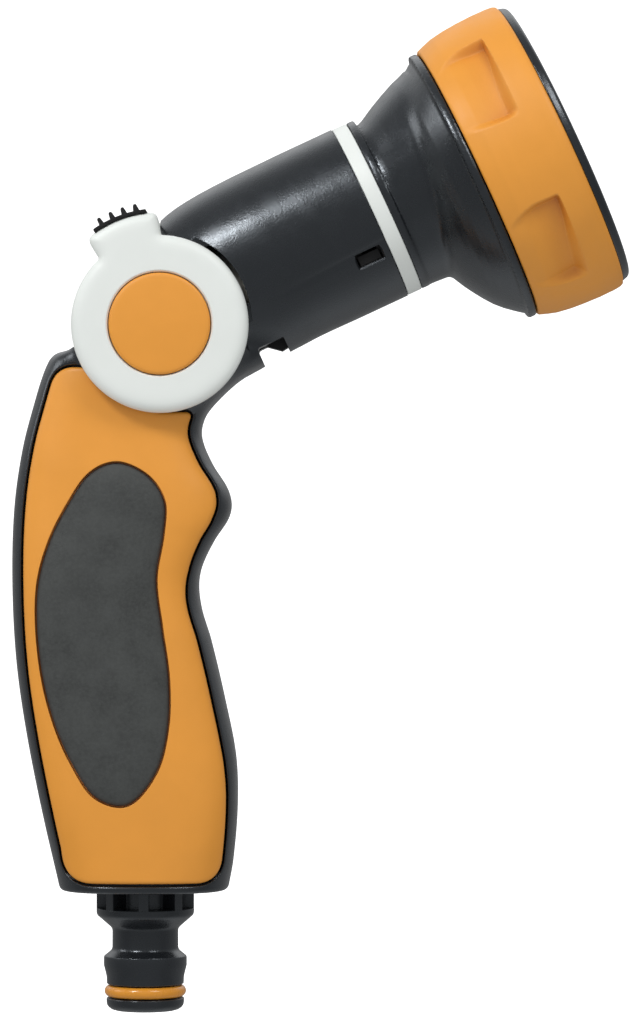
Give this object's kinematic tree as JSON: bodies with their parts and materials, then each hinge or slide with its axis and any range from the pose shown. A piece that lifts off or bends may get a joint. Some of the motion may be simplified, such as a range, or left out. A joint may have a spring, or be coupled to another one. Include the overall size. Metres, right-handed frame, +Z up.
{
  "type": "hose spray nozzle",
  "caption": "Handheld garden hose spray nozzle with a curved pistol handle, a thumb-turned flow valve, a rotating pattern dial and a quick-connect inlet nipple.",
  "frame": {"origin": "centre of the quick-connect nipple's mouth, at the foot of the handle", "axes": "+Z up along the nipple and the handle, +X forwards to the spray side, +Y to the right of a person holding it; Y = 0 is the mid-plane between the two shells"},
  "size_m": [0.1262, 0.0632, 0.2052],
  "materials": {
    "charcoal_plastic": "semi-gloss moulded",
    "orange_plastic": "satin moulded",
    "white_plastic": "satin moulded",
    "soft_grip": "matte, fine texture",
    "black_rubber": "matte",
    "orange_rubber": "smooth",
    "plate_plastic": "satin moulded",
    "black_plastic": "moulded",
    "natural_plastic": "moulded, uncoloured",
    "steel": "zinc plated"
  },
  "bodies": {
    "nozzle_body": {"inlet_tube": "charcoal_plastic", "inlet_o_ring": "orange_rubber", "riser_o_ring": "black_rubber", "left_body_shell": "charcoal_plastic", "right_body_shell": "charcoal_plastic", "left_side_panel": "orange_plastic", "right_side_panel": "orange_plastic", "left_grip_pad": "soft_grip", "right_grip_pad": "soft_grip", "body_screws": "steel", "valve_housing": "natural_plastic", "valve_end_cap": "natural_plastic", "valve_seat_inlet": "black_rubber", "valve_seat_outlet": "black_rubber", "barrel_tube": "black_plastic", "barrel_o_ring": "black_rubber", "trim_ring": "white_plastic", "bell_housing": "charcoal_plastic", "outlet_hub": "natural_plastic", "outlet_seal": "black_rubber", "seal_spring": "steel", "detent_ball": "steel", "detent_spring": "steel", "dial_screw": "steel"},
    "thumb_lever": {"valve_plug": "natural_plastic", "plug_o_rings": "black_rubber", "left_lever_disc": "white_plastic", "right_lever_disc": "white_plastic", "thumb_bar": "white_plastic", "thumb_grip": "black_rubber", "left_pivot_cap": "orange_plastic", "right_pivot_cap": "orange_plastic", "lever_screws": "steel"},
    "spray_dial": {"selector_disc": "natural_plastic", "dial_core": "charcoal_plastic", "grip_ring": "orange_plastic", "front_bezel": "charcoal_plastic", "spray_plate": "plate_plastic", "jet_nozzle": "orange_plastic", "mist_nozzles": "orange_plastic"}
  },
  "joints": [
    {"name": "thumb_lever_turn", "type": "hinge", "parent": "nozzle_body", "child": "thumb_lever", "pos_m": [0.0035, 0, 0.1399], "axis": [0, -1, 0], "range_deg": [0, 60]},
    {"name": "spray_dial_turn", "type": "hinge", "parent": "nozzle_body", "child": "spray_dial", "pos_m": [0.0679, 0, 0.1692], "axis": [0.9063, 0, 0.4226], "continuous": true}
  ]
}
